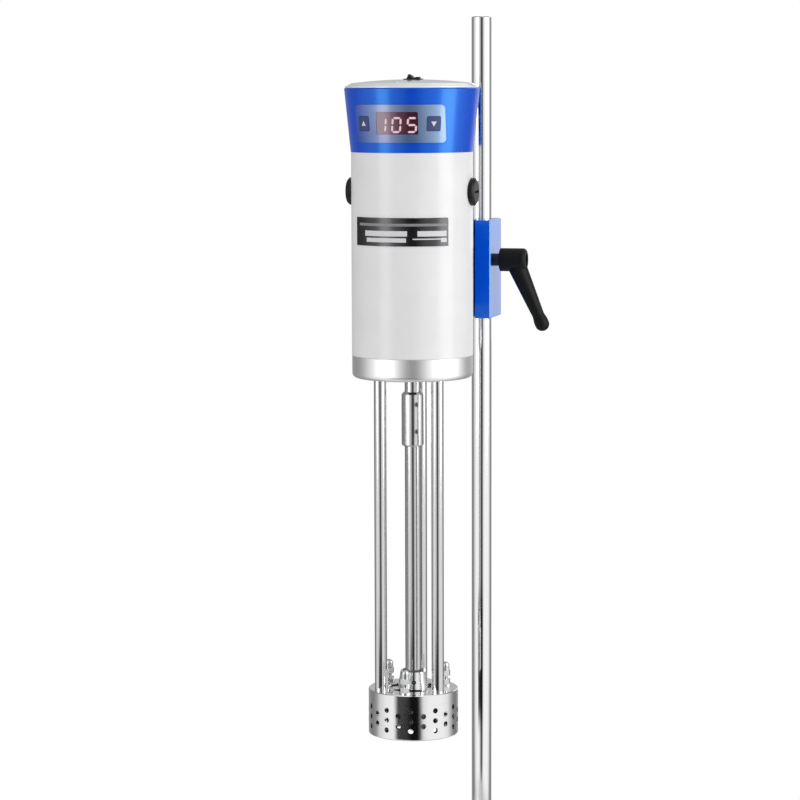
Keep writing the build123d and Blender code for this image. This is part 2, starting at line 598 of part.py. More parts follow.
def display_module():
    """Three-figure light module behind the window, on its circuit board."""
    light = block(-18.0, 18.0, -42, MODULE_SEAT, PANEL_Z - 9, PANEL_Z + 9)
    board = block(-26, 26, MODULE_SEAT, MODULE_SEAT + 1.6, PANEL_Z - 12, PANEL_Z + 12)
    return group(light, board)


def control_board():
    """Round speed control board with its larger components."""
    z = BOARD_Z + 1.6
    board = bar_z(BOARD_RADIUS, BOARD_Z, z)
    parts = [
        board,
        bar_z(7.0, z, z + 24, -14, 12),
        bar_z(5.0, z, z + 16, 2, 22),
        block(8, 26, -6, 6, z, z + 20),
        block(-26, -10, -14, -4, z, z + 12),
        block(-4, 4, -16, -6, z, z + 14),
    ]
    return group(*parts)


def key(side):
    """Key of the panel: a cap through the fascia and a flange behind the shell."""
    cap = facing_key(KEY_SIZE, 1.0, side) & head_skin(-3.9, 0.8)
    flange = facing_key(KEY_SIZE + 3, 1.0, side) & head_skin(-4.1, -2.9)
    return cap + flange


def nameplate():
    """Thin curved plate on the housing."""
    skin = tube_z(HOUSING_RADIUS + 0.5, HOUSING_RADIUS, PLATE_BOTTOM, PLATE_TOP)
    plate = skin & sector(HOUSING_RADIUS + 2, 10, PLATE_BOTTOM, PLATE_TOP,
                          front(-PLATE_HALF_ANGLE), front(PLATE_HALF_ANGLE))
    return plate


def power_inlet():
    """Recessed three-pin mains inlet."""
    w, h = INLET_BODY
    flange = Plane.XZ * Pos(0, INLET_Z) * RectangleRounded(31, 24, 2.5)
    body = Pos(0, INLET_FACE + 2.2, 0) * extrude(flange, 2.2)
    body += block(-w / 2 + 0.05, w / 2 - 0.05, 37, INLET_FACE + 1, INLET_Z - h / 2 + 0.05, INLET_Z + h / 2 - 0.05)
    recess = Plane.XZ * Polygon((-12.2, -8.1 + 4), (-8.2, -8.1), (8.2, -8.1), (12.2, -8.1 + 4), (12.2, 8.1),
                                (-12.2, 8.1), align=None)
    body -= Pos(0, INLET_FACE + 5, INLET_Z) * extrude(recess, 5 + INLET_FACE - INLET_FLOOR)
    return body - inlet_pins()


def inlet_pins():
    """Line, neutral and earth pins of the inlet."""
    places = [(-7, 0.5), (7, 0.5), (0, -3.5)]
    return group(*[block(x - 1, x + 1, 33, 52, INLET_Z + z - 2, INLET_Z + z + 2) for x, z in places])


def power_switch():
    """Body and bezel of the rocker switch."""
    body = switch_block(SWITCH_LENGTH, SWITCH_WIDTH, SWITCH_TOP - BEZEL, SWITCH_TOP)
    body += switch_block(SWITCH_BODY, SWITCH_BODY_WIDTH, SWITCH_TOP - 13, SWITCH_TOP - 1)
    body -= switch_block(11.2, 2 * ROCKER_HALF + 0.2, SWITCH_TOP - 5, SWITCH_TOP + 1)
    pin = bar_y(TRUNNION_RADIUS + RUNNING, -TRUNNION_END - 0.1, TRUNNION_END + 0.1, 0, ROCKER_PIVOT)
    return body - Pos(SWITCH_X, SWITCH_Y, 0) * pin


def power_rocker():
    """Rocker on two short trunnions, resting with its left end up."""
    outline = [(-4.4, 4.2), (-2.2, 3.6), (0, 2.2), (2.2, 3.6), (4.4, 4.2),
               (5.0, 0.4), (2.2, -2.0), (-2.2, -2.0), (-5.0, 0.4)]
    body = extrude(Plane.XZ * Polygon(*outline, align=None), ROCKER_HALF, both=True)
    body += bar_y(TRUNNION_RADIUS, -TRUNNION_END, TRUNNION_END, 0, 0)
    return Pos(SWITCH_X, SWITCH_Y, ROCKER_PIVOT) * Rot(0, ROCKER_ANGLE, 0) * body


# ---------------------------------------------------------------- motor inside the housing
CORE_BOTTOM, CORE_TOP = 508.0, 560.0
ARMATURE_RADIUS, FIELD_BORE, FIELD_RADIUS = 26.0, 26.7, HOUSING_INNER - 0.03
COMMUTATOR_RADIUS, BRUSH_END = 13.0, 31.0
BRUSH_WIDTH, BRUSH_HEIGHT = 6.0, 10.0
COIL_INNER, COIL_OUTER = 30.0, 38.0
FAN_RADIUS = 33.0
LOWER_BEARING_Z, UPPER_BEARING_Z = BELL_BOTTOM + 9, BRUSH_Z + 14


def field_core():
    """Laminated field with two poles and windows for the coils."""
    core = tube_z(FIELD_RADIUS, FIELD_BORE, CORE_BOTTOM, CORE_TOP)
    windows = [sector(COIL_OUTER + 0.05, COIL_INNER - 0.05, CORE_BOTTOM - 1, CORE_TOP + 1, middle - 9, middle + 9)
               for middle in (38, 142, 218, 322)]
    core = cut(core, windows)
    for side in (-1, 1):
        core -= Pos(0, side * (FIELD_RADIUS + 19), 0) * bar_z(20.0, CORE_BOTTOM - 1, CORE_TOP + 1)
    return core


def field_coil(side):
    """One field coil: two runs through the windows and an arc over each end."""
    centre = 0 if side > 0 else 180
    shapes = [sector(COIL_OUTER, COIL_INNER, CORE_BOTTOM - 8, CORE_TOP + 8, centre + a - 8, centre + a + 8)
              for a in (-38, 38)]
    for z0 in (CORE_BOTTOM - 8.0, CORE_TOP):
        shapes.append(sector(COIL_OUTER, COIL_INNER, z0, z0 + 8, centre - 46, centre + 46))
    return fused(shapes)


def brush_holders():
    """Insulated sleeves that guide the brushes towards the commutator."""
    holder = bar_x(8.2, COMMUTATOR_RADIUS + 3, CAP_SEAT, 0, BRUSH_Z) + bar_x(CAP_RADIUS, CAP_SEAT - 1.6, CAP_SEAT, 0, BRUSH_Z)
    holder -= block(0, 60, -BRUSH_WIDTH / 2 - 0.1, BRUSH_WIDTH / 2 + 0.1,
                    BRUSH_Z - BRUSH_HEIGHT / 2 - 0.1, BRUSH_Z + BRUSH_HEIGHT / 2 + 0.1)
    return around(holder, (0, 180))


def carbon_brushes():
    """Two carbon brushes, each a hair off the commutator."""
    body = block(COMMUTATOR_RADIUS - 2, BRUSH_END, -BRUSH_WIDTH / 2, BRUSH_WIDTH / 2,
                 BRUSH_Z - BRUSH_HEIGHT / 2, BRUSH_Z + BRUSH_HEIGHT / 2)
    body -= bar_z(COMMUTATOR_RADIUS + RUNNING, BRUSH_Z - 20, BRUSH_Z + 20)
    return around(body, (0, 180))


def brush_springs():
    """Springs between each brush and its cap, as closed coils."""
    turns, wire = 5, 0.5
    step = (CAP_SEAT - BRUSH_END - 2 * wire - 0.2) / (turns - 1)
    coils = [Pos(BRUSH_END + wire + 0.1 + step * i, 0, BRUSH_Z) * Rot(0, 90, 0) * Torus(2.2, wire)
             for i in range(turns)]
    return group(*[Rot(0, 0, turn) * coil for turn in (0, 180) for coil in coils])


def brush_caps():
    """Slotted caps that close the brush openings."""
    cap = bar_x(CAP_RADIUS, CAP_SEAT, CAP_FACE, 0, BRUSH_Z)
    cap = chamfer(cap.edges().group_by(Axis.X)[-1], 1.6)
    cap -= block(CAP_FACE - 1.6, 60, -8, 8, BRUSH_Z - 0.9, BRUSH_Z + 0.9)
    return around(cap, (0, 180))


def bearing(outer, inner, z0, width, ball_radius, balls):
    """Outer ring, inner ring and balls of a ball bearing with grooves."""
    pitch, z = (outer + inner) / 2, z0 + width / 2
    groove = Pos(0, 0, z) * Torus(pitch, ball_radius + 0.03)
    outer_ring = tube_z(outer, pitch + ball_radius * 0.55, z0, z0 + width) - groove
    inner_ring = tube_z(pitch - ball_radius * 0.55, inner, z0, z0 + width) - groove
    ball = Pos(pitch, 0, z) * Sphere(ball_radius)
    return outer_ring, inner_ring, [Rot(0, 0, i * 360 / balls) * ball for i in range(balls)]


BEARINGS = [
    bearing(BEARING_SEAT, 6.0, LOWER_BEARING_Z, 8.0, 2.3, 8),
    bearing(11.0, 4.0, UPPER_BEARING_Z, 7.0, 2.0, 7),
]


# ---------------------------------------------------------------- rotating spindle
def motor_shaft():
    """Stepped armature shaft, from the upper bearing down into the coupling."""
    steps = [
        (4.0, UPPER_BEARING_Z - 1, UPPER_BEARING_Z + 9),
        (6.0, LOWER_BEARING_Z - 0.5, UPPER_BEARING_Z - 1),
        (6.5, COUPLING_TOP + 0.2, LOWER_BEARING_Z - 0.5),
        (5.0, COUPLING_TOP - 21, COUPLING_TOP + 1),
    ]
    return fused([bar_z(r, z0, z1) for r, z0, z1 in steps])


def armature_core():
    """Slotted lamination stack."""
    core = tube_z(ARMATURE_RADIUS, 6.02, CORE_BOTTOM, CORE_TOP)
    slots = 12
    slot = block(16, ARMATURE_RADIUS + 1, -1.5, 1.5, CORE_BOTTOM - 1, CORE_TOP + 1)
    return cut(core, [Rot(0, 0, i * 360 / slots) * slot for i in range(slots)])


def armature_windings():
    """Rounded end turns above and below the stack."""
    rings = []
    for z0, z1 in ((CORE_BOTTOM - 13, CORE_BOTTOM), (CORE_TOP, CORE_TOP + 13)):
        ring = tube_z(23.5, 7.5, z0, z1)
        far = -1 if z0 > CORE_BOTTOM else 0
        rings.append(fillet(end_edges(ring, far), 4.0))
    return group(*rings)


def commutator():
    """Copper drum with narrow slits."""
    z0, z1 = BRUSH_Z - 10, BRUSH_Z + 9
    drum = tube_z(COMMUTATOR_RADIUS, 6.02, z0, z1)
    slits = 24
    slit = block(COMMUTATOR_RADIUS - 1.2, COMMUTATOR_RADIUS + 1, -0.25, 0.25, z0 - 1, z1 + 1)
    return cut(drum, [Rot(0, 0, (i + 0.5) * 360 / slits) * slit for i in range(slits)])


def cooling_fan():
    """Radial fan under the armature."""
    z0 = LUG_BOTTOM + 2
    blades = 9
    hub = tube_z(11.0, 6.02, z0, z0 + 12)
    disc = tube_z(FAN_RADIUS, 6.02, z0, z0 + 1.6)
    blade = Pos(0, 4, 0) * block(11, FAN_RADIUS - 1.5, -0.8, 0.8, z0, z0 + 11)
    return fused([hub, disc] + [Rot(0, 0, i * 360 / blades) * blade for i in range(blades)])


SET_SCREW_Z = (428.6, 406.8)
SET_SCREW_ANGLE = 34.0
SET_SCREW_RADIUS = 2.0


def coupling():
    """Sleeve that joins the motor shaft to the long shaft."""
    sleeve = bar_z(COUPLING_RADIUS, COUPLING_BOTTOM, COUPLING_TOP)
    sleeve = chamfer(end_edges(sleeve, -1), 2.0)
    sleeve = chamfer(end_edges(sleeve, 0), 1.5)
    tools = [bar_z(5.02, COUPLING_BOTTOM - 1, COUPLING_TOP + 1)]
    for z in SET_SCREW_Z:
        hole = bar_x(SET_SCREW_RADIUS + 0.02, 0, 20, 0, z)
        tools.append(Rot(0, 0, front(SET_SCREW_ANGLE)) * hole)
    return cut(sleeve, tools)


def coupling_set_screws():
    screw = Rot(0, 90, 0) * grub_screw(SET_SCREW_RADIUS, 3.3, 2.0)
    return group(*[Rot(0, 0, front(SET_SCREW_ANGLE)) * Pos(8.4, 0, z) * screw for z in SET_SCREW_Z])


ROTOR_TOP = STATOR_TOP - FRAME_THICKNESS - 4.5
ROTOR_BOTTOM = ROTOR_TOP - 14.5


def long_shaft():
    """Shaft from the coupling down to the rotor."""
    steps = [
        (5.0, COUPLING_BOTTOM - 1, COUPLING_BOTTOM + 20),
        (SHAFT_RADIUS, ROTOR_TOP, COUPLING_BOTTOM - 0.05),
        (5.0, ROTOR_BOTTOM, ROTOR_TOP + 1),
        (3.0, ROTOR_BOTTOM - 5, ROTOR_BOTTOM + 1),
    ]
    return fused([bar_z(r, z0, z1) for r, z0, z1 in steps])


def rotor():
    """Four-armed rotor with a shearing tooth at each tip."""
    hub = tube_z(10.5, 5.02, ROTOR_BOTTOM, ROTOR_TOP)
    arm = block(8, 30, -2.2, 2.2, ROTOR_BOTTOM, ROTOR_TOP)
    tooth = sector(ROTOR_RADIUS, 28.0, ROTOR_BOTTOM, ROTOR_TOP, -10, 10)
    arms = [Rot(0, 0, 20 + i * 90) * (arm + tooth) for i in range(4)]
    return fused([hub, *arms])


def rotor_nut():
    """Domed nut that holds the rotor."""
    nut = hexagon_z(10.0, ROTOR_BOTTOM - 5, ROTOR_BOTTOM)
    dome = Pos(0, 0, ROTOR_BOTTOM - 5) * Sphere(4.2)
    dome &= block(-9, 9, -9, 9, ROTOR_BOTTOM - 12, ROTOR_BOTTOM - 4)
    return nut + dome - bar_z(3.05, ROTOR_BOTTOM - 5.2, ROTOR_BOTTOM + 1)


# ---------------------------------------------------------------- working head
FRAME_BOTTOM = STATOR_TOP - FRAME_THICKNESS
HUB_TOP = 211.0
BUSH_RADIUS = 8.6
TIE_RADIUS, TIE_NUT, TIE_WASHER = 2.0, 7.0, 4.5
TIE_TOP = 216.6
INLET_RADIUS = 21.0
LOWER_NUT_TOP, UPPER_NUT_BOTTOM = STATOR_TOP + 5.0, STATOR_TOP + 8.0
OIL_HOLE_Z, OIL_HOLE_ANGLE = 203.0, 16.0


def support_rods():
    """Three polished rods, threaded into the end bell and the working head."""
    rod = fused([
        bar_z(ROD_RADIUS, STATOR_TOP, BELL_BOTTOM + 9),
        bar_z(4.0, BELL_BOTTOM + 8, BELL_FLOOR + 8),
        bar_z(3.0, STATOR_TOP - 7, STATOR_TOP + 1),
    ])
    return around(Pos(ROD_CIRCLE, 0, 0) * rod, [front(angle + 60) for angle in THIRDS])


def rod_nuts():
    """Nuts that hold the rods inside the end bell."""
    nut = hexagon_z(13.0, BELL_FLOOR, BELL_FLOOR + 6.5) - bar_z(4.05, 0, 600)
    return around(Pos(ROD_CIRCLE, 0, 0) * nut, [front(angle + 60) for angle in THIRDS])


def stator_frame():
    """Upper frame of the working head: rim, three spokes, and a hub with an oil hole to the bush."""
    rim = tube_z(STATOR_RADIUS, 20.0, FRAME_BOTTOM, STATOR_TOP)
    rim = chamfer(rim.edges().filter_by(GeomType.CIRCLE).group_by(Axis.Z)[-1], 0.6)
    hub = cone_z(12.4, 10.4, STATOR_TOP, HUB_TOP) + bar_z(12.4, FRAME_BOTTOM, STATOR_TOP)
    spoke = block(9, 22, -5.5, 5.5, FRAME_BOTTOM, STATOR_TOP - 0.01)
    frame = fused([rim, hub] + [Rot(0, 0, front(angle + 60)) * spoke for angle in THIRDS])
    tools = [bar_z(BUSH_RADIUS + 0.01, 0, 600)]
    for angle in THIRDS:
        tools.append(Rot(0, 0, front(angle + 60)) * bar_z(3.05, STATOR_TOP - 7.2, 300, ROD_CIRCLE))
        tools.append(Rot(0, 0, front(angle)) * bar_z(TIE_RADIUS + 0.1, 0, 300, ROD_CIRCLE))
    tools.append(Rot(0, 0, front(OIL_HOLE_ANGLE)) * bar_x(1.8, 0, 20, 0, OIL_HOLE_Z))
    return cut(frame, tools)


def shaft_bush():
    """Plain bush that steadies the long shaft."""
    return tube_z(BUSH_RADIUS - 0.01, SHAFT_RADIUS + RUNNING, FRAME_BOTTOM, HUB_TOP + 0.8)


def stator_ring():
    """Perforated ring with a flange for the tie studs and a thread for the inlet ring."""
    inner = STATOR_RADIUS - STATOR_WALL
    ring = tube_z(STATOR_RADIUS, inner, STATOR_BOTTOM, FRAME_BOTTOM - 0.02)
    ring = fillet(ring.edges().filter_by(GeomType.CIRCLE).group_by(Axis.Z)[0].sort_by(SortBy.RADIUS)[-1], 1.2)
    ring += tube_z(inner + 0.5, 22.5, FRAME_BOTTOM - 2.5, FRAME_BOTTOM - 0.02)
    tools = [bar_z(inner + 1.05, STATOR_BOTTOM - 1, STATOR_BOTTOM + 2.6)]
    for angle in THIRDS:
        tools.append(Rot(0, 0, front(angle)) * bar_z(TIE_RADIUS + 0.02, 180, 300, ROD_CIRCLE))
    for i in range(HOLE_COLUMNS):
        count = 3 if i % 2 == 0 else 2
        for row in range(count):
            z = HOLE_Z + (row - (count - 1) / 2) * HOLE_PITCH
            tools.append(Rot(0, 0, front(FIRST_HOLE_ANGLE + i * 360 / HOLE_COLUMNS)) * bar_x(HOLE_RADIUS, 25, 45, 0, z))
    return cut(ring, tools)


def inlet_ring():
    """Screwed ring around the bottom inlet, with two holes for a pin spanner."""
    ring = tube_z(STATOR_RADIUS - STATOR_WALL + 1.0, INLET_RADIUS, STATOR_BOTTOM + 0.3, STATOR_BOTTOM + 2.5)
    holes = [Rot(0, 0, angle) * bar_z(1.5, 160, 200, 27) for angle in (0, 180)]
    return cut(ring, holes)


def tie_studs():
    stud = bar_z(TIE_RADIUS, FRAME_BOTTOM - 2.5, TIE_TOP - 3)
    return around(Pos(ROD_CIRCLE, 0, 0) * stud, [front(angle) for angle in THIRDS])


def tie_nuts_and_washers():
    """Nuts and washers that pull the stator ring up against its frame."""
    nut = hexagon_z(TIE_NUT, STATOR_TOP + 1, LOWER_NUT_TOP) - bar_z(TIE_RADIUS + SCREW_CLEARANCE, 0, 600)
    washer = tube_z(TIE_WASHER, TIE_RADIUS + 0.2, STATOR_TOP, STATOR_TOP + 1)
    return around(Pos(ROD_CIRCLE, 0, 0) * group(nut, washer), [front(angle) for angle in THIRDS])


def cap_nuts():
    """Domed nuts on the ends of the studs."""
    bottom = UPPER_NUT_BOTTOM
    flange_top = bottom + 4.2
    dome_radius = 3.2
    nut = hexagon_z(TIE_NUT, bottom, flange_top)
    nut += bar_z(dome_radius, flange_top - 0.5, TIE_TOP - dome_radius)
    nut += Pos(0, 0, TIE_TOP - dome_radius) * Sphere(dome_radius)
    nut -= bar_z(TIE_RADIUS + SCREW_CLEARANCE, bottom - 1, TIE_TOP - 2.8)
    return around(Pos(ROD_CIRCLE, 0, 0) * nut, [front(angle) for angle in THIRDS])


# ---------------------------------------------------------------- all nodes
STAND_NODES = {
    "base_plate": base_plate,
    "rubber_feet": rubber_feet,
    "foot_screws": foot_screws,
    "column": column,
    "column_bolt_and_washer": column_bolt_and_washer,
}

HEAD_NODES = {
    "clamp_liner": clamp_liner,
    "clamp_block": clamp_block,
    "support_arm": support_arm,
    "arm_screws": arm_screws,
    "lever_stud": lever_stud,
    "lever_handle": lever_handle,
    "lever_screw": lever_screw,
    "lever_spring": lever_spring,
    "motor_housing": motor_housing,
    "end_bell": end_bell,
    "bell_screws": bell_screws,
    "shaft_seal": shaft_seal,
    "bearing_bridge": bearing_bridge,
    "head_shell": head_shell,
    "top_cover": top_cover,
    "cover_screws": cover_screws,
    "control_panel": control_panel,
    "display_window": display_window,
    "display_figures": display_figures,
    "display_module": display_module,
    "control_board": control_board,
    "key_up": lambda: key(-1),
    "key_down": lambda: key(1),
    "nameplate": nameplate,
    "power_inlet": power_inlet,
    "inlet_pins": inlet_pins,
    "power_switch": power_switch,
    "power_rocker": power_rocker,
    "field_core": field_core,
    "field_coils": lambda: group(field_coil(1), field_coil(-1)),
    "brush_holders": brush_holders,
    "carbon_brushes": carbon_brushes,
    "brush_springs": brush_springs,
    "brush_caps": brush_caps,
    "bearing_outer_rings": lambda: group(*[outer for outer, _, _ in BEARINGS]),
    "bearing_inner_rings_and_balls": lambda: group(*[x for _, inner, balls in BEARINGS for x in (inner, *balls)]),
    "motor_shaft": motor_shaft,
    "armature_core": armature_core,
    "armature_windings": armature_windings,
    "commutator": commutator,
    "cooling_fan": cooling_fan,
    "coupling": coupling,
    "coupling_set_screws": coupling_set_screws,
    "long_shaft": long_shaft,
    "rotor": rotor,
    "rotor_nut": rotor_nut,
    "support_rods": support_rods,
    "rod_nuts": rod_nuts,
    "stator_frame": stator_frame,
    "shaft_bush": shaft_bush,
    "stator_ring": stator_ring,
    "inlet_ring": inlet_ring,
    "tie_studs": tie_studs,
    "tie_nuts_and_washers": tie_nuts_and_washers,
    "cap_nuts": cap_nuts,
}

os.makedirs("parts", exist_ok=True)
for name, make in STAND_NODES.items():
    export_step(group(make()), f"parts/{name}.step")
for name, make in HEAD_NODES.items():
    export_step(put_on_head(make()), f"parts/{name}.step")
print("nodes", len(STAND_NODES) + len(HEAD_NODES))
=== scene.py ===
"""Laboratory homogenizer on its lift stand: finishes, printed details, studio and camera."""

from math import cos, pi, radians, sin, sqrt

import bmesh
import bpy
from mathutils import Matrix, Vector


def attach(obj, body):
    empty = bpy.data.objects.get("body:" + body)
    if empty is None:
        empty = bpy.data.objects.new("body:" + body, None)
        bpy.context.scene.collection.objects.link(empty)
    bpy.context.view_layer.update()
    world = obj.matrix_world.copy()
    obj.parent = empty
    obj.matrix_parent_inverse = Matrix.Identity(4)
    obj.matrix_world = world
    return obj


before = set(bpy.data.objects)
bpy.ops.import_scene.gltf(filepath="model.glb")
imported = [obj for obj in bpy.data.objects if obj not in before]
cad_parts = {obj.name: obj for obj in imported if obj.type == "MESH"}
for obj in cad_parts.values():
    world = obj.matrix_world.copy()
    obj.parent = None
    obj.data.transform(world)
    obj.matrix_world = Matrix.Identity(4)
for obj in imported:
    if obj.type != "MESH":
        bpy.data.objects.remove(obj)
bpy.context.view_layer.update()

# ---------------------------------------------------------------- sizes in metres, and angles
SHAFT = Vector((-0.0235, -0.046, 0.0))
HEAD_BOTTOM, HEAD_TOP = 0.6302, 0.6810
HEAD_BOTTOM_RADIUS, HEAD_TOP_RADIUS = 0.0488, 0.0540
PANEL_Z = 0.653
# The film's painted reflection and painted glow across it, its paling towards the top, and the painted
# reflection on the display's glass are given over these spans, just past the pieces' edges.
FILM_PAINTED_LIGHT_HALF_WIDTH, TINT_HALF_HEIGHT, GLASS_PAINTED_REFLECTION_HALF_WIDTH = 0.04, 0.016, 0.018
KEY_ANGLE, KEY_PROUD, KEY_INK = radians(33.0), 0.0008, 0.00003
PLATE_RADIUS, PLATE_INK = 0.0491, 0.00004
CAMERA_TURN, CAMERA_TILT, CAMERA_ROLL = radians(14.0), radians(6.214), radians(-0.17)
CAMERA_PLACE = (0.52546, -2.28986, 0.683)
LAMP_AIM_HEIGHT = 0.45
FLOOR_RADIUS, FADE_START, FADE_END = 3.0, 0.2, 0.33


# ---------------------------------------------------------------- shader maths
class Value:
    """A socket of a node tree, so that sums on it read as plain arithmetic."""

    def __init__(self, tree, socket):
        self.tree = tree
        self.socket = socket

    def maths(self, operation, *others):
        sockets = dict(enumerate((self,) + others))
        return self.tree.node("ShaderNodeMath", {"operation": operation}, sockets)

    def __add__(self, other):
        return self.maths("ADD", other)

    def __radd__(self, other):
        return self.maths("ADD", other)

    def __mul__(self, other):
        return self.maths("MULTIPLY", other)

    def __rmul__(self, other):
        return self.maths("MULTIPLY", other)

    def __sub__(self, other):
        return self.maths("SUBTRACT", other)

    def __rsub__(self, other):
        return (self * -1.0).maths("ADD", other)

    def __truediv__(self, other):
        return self.maths("DIVIDE", other)

    def __gt__(self, other):
        return self.maths("GREATER_THAN", other)

    def __lt__(self, other):
        return self.maths("LESS_THAN", other)


class Tree:
    """A node tree that is built one node at a time."""

    def __init__(self, tree):
        self.tree = tree
        self.tree.nodes.clear()
        self.place = None

    def node(self, kind, settings=None, sockets=None, output=0):
        """Adds a node: its settings first, then the values or links of its sockets."""
        made = self.tree.nodes.new(kind)
        for name, setting in (settings or {}).items():
            if name == "stops":
                self.set_stops(made.color_ramp, setting)
            else:
                setattr(made, name, setting)
        for name, given in (sockets or {}).items():
            if isinstance(given, Value):
                self.tree.links.new(given.socket, made.inputs[name])
            else:
                made.inputs[name].default_value = given
        return Value(self, made.outputs[output]) if made.outputs else None

    def set_stops(self, ramp, stops):
        """Gives a ramp its stops, each a place and a grey level or a colour."""
        while len(ramp.elements) < len(stops):
            ramp.elements.new(1.0)
        for element, (at, level) in zip(ramp.elements, stops):
            element.position = at
            element.color = level if isinstance(level, tuple) else (level, level, level, 1.0)

    def where(self):
        """The point on the piece, in metres, as a vector."""
        if self.place is None:
            self.place = self.node("ShaderNodeTexCoord", output=3)
        return self.place

    def split(self, vector):
        """A vector's x, y and z."""
        parts = self.node("ShaderNodeSeparateXYZ", {}, {0: vector}).socket.node.outputs
        return [Value(self, part) for part in parts]

    def axes(self, origin=(0.0, 0.0, 0.0)):
        """The point's x, y and z from an origin."""
        moved = self.node("ShaderNodeVectorMath", {"operation": "SUBTRACT"}, {0: self.where(), 1: origin})
        return self.split(moved)

    def radius_of(self, x, y):
        """How far a point is from the vertical line that its x and y start at."""
        return (x * x + y * y).maths("SQRT")

    def waves(self, place, pitch):
        """Even ridges from 0 to 1 along a place in metres."""
        return (place * (2 * pi / pitch)).maths("SINE") * 0.5 + 0.5

    def marks(self, size, stretch=(1.0, 1.0, 1.0), detail=2.0):
        """Soft random marks of about one size, from 0 to 1, drawn out along an axis by its stretch."""
        scale = tuple(1.0 / (size * s) for s in stretch)
        spread = self.node("ShaderNodeVectorMath", {"operation": "MULTIPLY"}, {0: self.where(), 1: scale})
        return self.node("ShaderNodeTexNoise", {}, {"Vector": spread, "Scale": 1.0, "Detail": detail})

    def between(self, factor, low, high):
        """A colour between two, by a factor."""
        return self.node("ShaderNodeMix", {"data_type": "RGBA"}, {0: factor, 6: low, 7: high}, output=2)

    def ramp(self, factor, stops):
        """A level that follows its stops."""
        return self.node("ShaderNodeValToRGB", {"stops": stops}, {0: factor})

    def bumps(self, height, depth):
        """A normal that follows a height from 0 to 1, of this depth in metres."""
        return self.node("ShaderNodeBump", {}, {"Height": height, "Distance": depth, "Strength": 1.0})


def finish(name, build):
    """A material whose surface is what build returns: a dict of the main shader's sockets."""
    material = bpy.data.materials.new(name)
    material.use_nodes = True
    tree = Tree(material.node_tree)
    surface = tree.node("ShaderNodeBsdfPrincipled", {}, build(tree))
    tree.node("ShaderNodeOutputMaterial", {}, {"Surface": surface})
    return material


def rgb(red, green, blue):
    """A colour for a socket."""
    return (red, green, blue, 1.0)


def grey(level):
    """A plain grey for a socket."""
    return rgb(level, level, level)


def shade(colour, share):
    """A colour made lighter or darker."""
    return rgb(*[min(1.0, c * share) for c in colour[:3]])


# ---------------------------------------------------------------- finishes
def enamel(colour, roughness, coat, peel=0.0011, depth=0.00003, gloss=None):
    """Sprayed enamel: faint orange peel and cloudiness, and sockets for a gloss of its own colour."""

    def build(t):
        cloud = t.marks(0.03, detail=3.0)
        return {
            "Base Color": t.between(cloud, shade(colour, 0.93), shade(colour, 1.06)),
            "Roughness": roughness - 0.04 + 0.08 * t.marks(0.012),
            "Normal": t.bumps(t.marks(peel), depth),
            "Coat Weight": coat,
            "Coat Roughness": 0.06,
            **(gloss or {}),
        }

    return build


def moulding(colour, roughness, depth=0.00002, coat=0.0, sheen=0.5):
    """Moulded plastic with a fine spark-eroded grain."""

    def build(t):
        fine = t.marks(0.0005, detail=3.0)
        return {
            "Base Color": t.between(t.marks(0.02), shade(colour, 0.9), shade(colour, 1.1)),
            "Roughness": roughness - 0.05 + 0.1 * fine,
            "Normal": t.bumps(fine, depth),
            "Coat Weight": coat,
            "Specular IOR Level": sheen,
        }

    return build


def drawn_metal(colour, roughness, depth, spread=0.05):
    """Metal with fine polishing lines along its upright length."""

    def build(t):
        stretch = (1.0, 1.0, 60.0)
        lines = t.marks(0.0006, stretch, detail=4.0)
        return {
            "Base Color": t.between(t.marks(0.015, stretch), shade(colour, 0.96), shade(colour, 1.0)),
            "Metallic": 1.0,
            "Roughness": roughness - spread / 2 + spread * lines,
            "Normal": t.bumps(lines, depth),
        }

    return build


def turned_metal(colour, roughness, depth=0.000003):
    """Turned metal: fine grooves round the motor's upright axis."""

    def build(t):
        pitch = 0.0004
        x, y, z = t.axes(tuple(SHAFT))
        groove = t.waves(t.radius_of(x, y) + z, pitch)
        streak = t.marks(0.002, (30.0, 30.0, 0.2), detail=3.0)
        return {
            "Base Color": t.between(streak, shade(colour, 0.95), shade(colour, 1.0)),
            "Metallic": 1.0,
            "Roughness": roughness - 0.03 + 0.06 * streak,
            "Normal": t.bumps(groove, depth),
        }

    return build


def plated_screw(colour, roughness):
    """Plated steel hardware with a slightly uneven sheen."""

    def build(t):
        patch = t.marks(0.0015, detail=4.0)
        return {
            "Base Color": t.between(patch, shade(colour, 0.88), shade(colour, 1.04)),
            "Metallic": 1.0,
            "Roughness": roughness - 0.07 + 0.14 * patch,
            "Normal": t.bumps(patch, 0.000006),
        }

    return build


def lamination_stack(t):
    """Varnished iron sheets, seen as fine lines across the stack."""
    sheet = 0.0010
    line = t.waves(t.axes()[2], sheet)
    patch = t.marks(0.004, detail=3.0)
    return {
        "Base Color": t.between(line * 0.6 + patch * 0.4, rgb(0.10, 0.09, 0.085), rgb(0.26, 0.25, 0.25)),
        "Metallic": 0.7,
        "Roughness": 0.42 + 0.2 * patch,
        "Normal": t.bumps(line, 0.00008),
    }


def wound_wire(t):
    """Enamelled copper wire laid turn by turn."""
    x, y, z = t.axes(tuple(SHAFT))
    around, wire, starts = y.maths("ARCTAN2", x), 0.0009, 3.0
    strand = (z * (2 * pi / wire) + around * starts).maths("SINE") * 0.5 + 0.5
    patch = t.marks(0.003, detail=3.0)
    return {
        "Base Color": t.between(strand * 0.6 + patch * 0.4, rgb(0.24, 0.07, 0.02), rgb(0.72, 0.30, 0.12)),
        "Metallic": 0.85,
        "Roughness": 0.3 + 0.12 * patch,
        "Normal": t.bumps(strand, 0.0002),
    }


